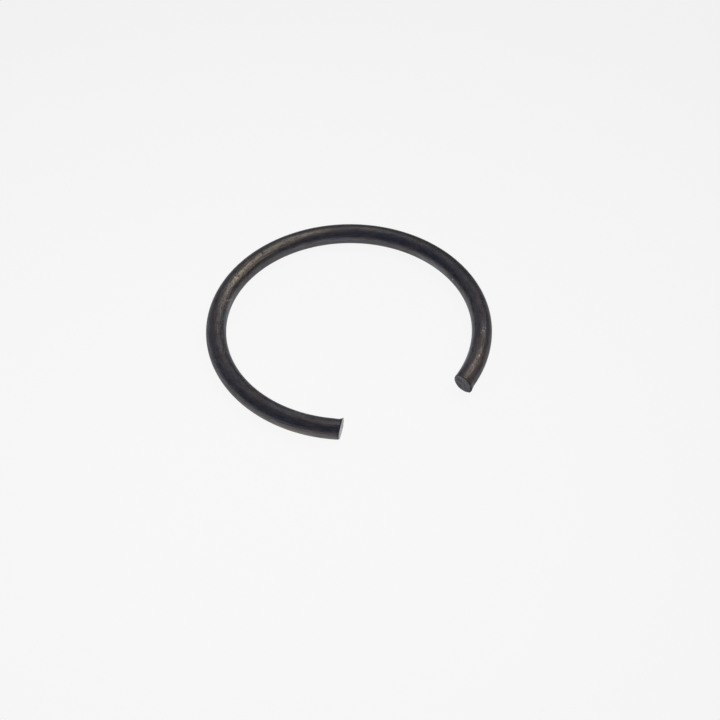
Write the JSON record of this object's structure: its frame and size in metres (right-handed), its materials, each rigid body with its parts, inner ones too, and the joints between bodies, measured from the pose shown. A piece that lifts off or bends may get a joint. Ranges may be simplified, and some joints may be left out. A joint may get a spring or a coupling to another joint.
{
  "type": "circlip retaining ring",
  "caption": "Open ring of round spring wire with a wide gap and slanted, sheared ends; it springs into a groove in a bore to hold a part in place.",
  "frame": {"origin": "centre of the ring's circle, in the middle of the wire's thickness", "axes": "+Z along the ring's axis; the gap faces -Y; the end with the flatter tail is towards +X"},
  "size_m": [0.0284, 0.027, 0.002],
  "materials": {
    "blackened_spring_steel": "cold-drawn spring steel wire, blackened and oiled, the two sheared faces blackened too"
  },
  "bodies": {
    "root": {"retaining_ring": "blackened_spring_steel"}
  },
  "joints": []
}
